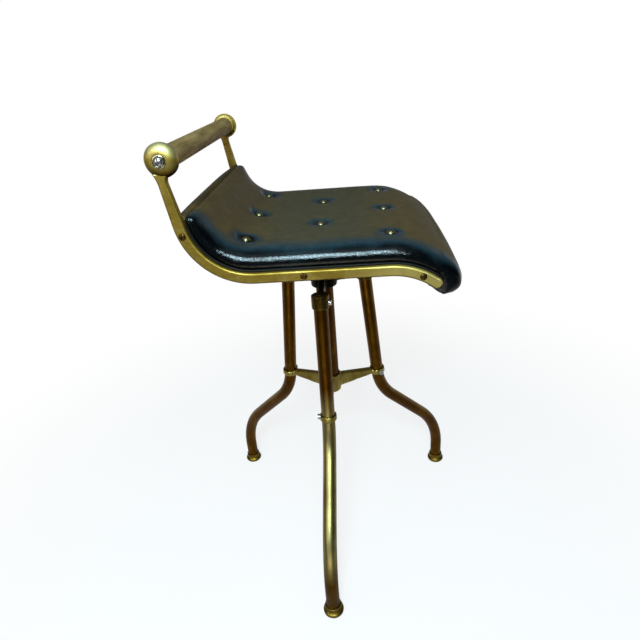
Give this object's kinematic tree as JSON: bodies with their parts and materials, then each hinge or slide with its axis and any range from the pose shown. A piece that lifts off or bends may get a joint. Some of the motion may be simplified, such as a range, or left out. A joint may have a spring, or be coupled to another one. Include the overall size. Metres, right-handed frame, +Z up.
{
  "type": "revolving musician's stool",
  "caption": "Revolving stool: tripod of bent brass tubes, curved leather seat between side rails, low back with a wooden hand bar, and a screwed spindle that winds the seat up.",
  "frame": {"origin": "on the floor, under the axis of the column", "axes": "+Z up along the column; the sitter faces -Y, and the low back with its hand bar is at +Y"},
  "size_m": [0.4427, 0.443, 0.7325],
  "materials": {
    "tube_brass": "dark worn patina",
    "turned_brass": "dark worn patina",
    "cast_brass": "dark cast patina",
    "dark_iron": "blackened",
    "bronze": "oiled",
    "steel": "worn bright",
    "board_wood": "raw plywood",
    "bar_wood": "worn smooth",
    "black_leather": "semi-gloss, worn",
    "brown_leather": "worn",
    "button_brass": "worn polish",
    "rail_brass": "worn polish"
  },
  "bodies": {
    "base": {"leg_1": "tube_brass", "leg_2": "tube_brass", "leg_3": "tube_brass", "foot_1": "turned_brass", "foot_2": "turned_brass", "foot_3": "turned_brass", "lower_spider": "cast_brass", "upper_spider": "cast_brass", "socket_screws": "steel", "clamp_screws": "steel", "column_tube": "tube_brass", "spindle_nut": "bronze"},
    "guide": {"guide_bush": "bronze"},
    "seat": {"seat_plate": "dark_iron", "spindle": "dark_iron", "spindle_end_washer": "steel", "spindle_end_screw": "steel", "spindle_pin": "steel", "plate_screws": "steel", "button_washers": "steel", "handle_screws": "steel", "seat_board": "board_wood", "hand_bar": "bar_wood", "seat_pad": "black_leather", "rear_cover": "brown_leather", "seat_buttons": "button_brass", "side_rail_right": "rail_brass", "side_rail_left": "rail_brass", "rail_screws": "rail_brass", "bar_collar_left": "rail_brass", "bar_collar_right": "rail_brass", "handle_washers": "rail_brass"}
  },
  "joints": [
    {"name": "seat_rise", "type": "slide", "parent": "base", "child": "guide", "axis": [0, 0, 1], "range_m": [-0.027, 0.092]},
    {"name": "seat_turn", "type": "hinge", "parent": "guide", "child": "seat", "pos_m": [0, 0, 0.5], "axis": [0, 0, 1], "range_deg": [-1215, 4140]}
  ],
  "couplings": [
    {"joint": "seat_rise", "follows": "seat_turn", "m_per_rad": 0.0012732}
  ]
}
